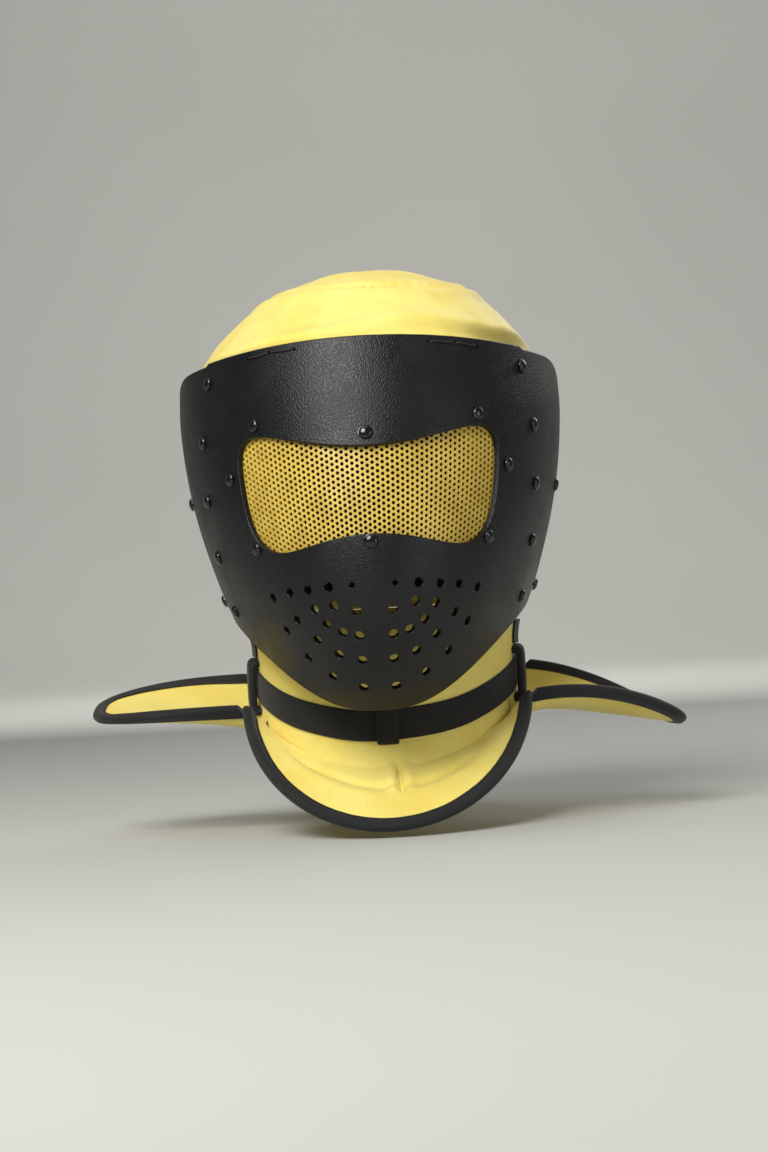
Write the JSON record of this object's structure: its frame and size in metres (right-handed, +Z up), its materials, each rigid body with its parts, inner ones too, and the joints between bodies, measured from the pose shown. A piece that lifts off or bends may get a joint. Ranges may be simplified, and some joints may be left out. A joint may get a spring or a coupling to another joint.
{
  "type": "padded sparring headgear",
  "caption": "Padded hood with a moulded face shield riveted over its front, a perforated eye window, and a neck collar with a strap, a bib and shoulder flaps.",
  "frame": {"origin": "inner top of the crown, where the wearer's head meets the hood, mount head_seat", "axes": "+Z up, the face towards -Y, +X to the wearer's left, which is the right in the front view"},
  "size_m": [0.395, 0.3177, 0.3642],
  "materials": {
    "yellow_fabric": "padded woven nylon, light satin sheen",
    "black_plastic": "pebble-grained moulded plastic",
    "yellow_painted_metal": "yellow paint on perforated sheet",
    "rivet_enamel": "black enamel",
    "black_webbing": "woven webbing and grosgrain"
  },
  "bodies": {
    "root": {"back_binding": "black_webbing", "back_flap": "yellow_fabric", "bib_binding": "black_webbing", "face_shield": "black_plastic", "front_bib": "yellow_fabric", "hood": "yellow_fabric", "neck_collar": "yellow_fabric", "neck_strap": "black_webbing", "shoulder_binding_left": "black_webbing", "shoulder_binding_right": "black_webbing", "shoulder_flap_left": "yellow_fabric", "shoulder_flap_right": "yellow_fabric", "side_rivet_left_1": "rivet_enamel", "side_rivet_left_2": "rivet_enamel", "side_rivet_left_3": "rivet_enamel", "side_rivet_left_4": "rivet_enamel", "side_rivet_left_5": "rivet_enamel", "side_rivet_left_6": "rivet_enamel", "side_rivet_left_7": "rivet_enamel", "side_rivet_right_1": "rivet_enamel", "side_rivet_right_2": "rivet_enamel", "side_rivet_right_3": "rivet_enamel", "side_rivet_right_4": "rivet_enamel", "side_rivet_right_5": "rivet_enamel", "side_rivet_right_6": "rivet_enamel", "side_rivet_right_7": "rivet_enamel", "side_tab_left": "black_webbing", "side_tab_right": "black_webbing", "strap_clasp": "black_plastic", "strap_loop_front": "black_webbing", "strap_loop_left": "black_webbing", "strap_loop_right": "black_webbing", "visor_sheet": "yellow_painted_metal", "window_rivet_1": "rivet_enamel", "window_rivet_2": "rivet_enamel", "window_rivet_3": "rivet_enamel", "window_rivet_4": "rivet_enamel", "window_rivet_5": "rivet_enamel", "window_rivet_6": "rivet_enamel", "window_rivet_7": "rivet_enamel", "window_rivet_8": "rivet_enamel"}
  },
  "joints": []
}
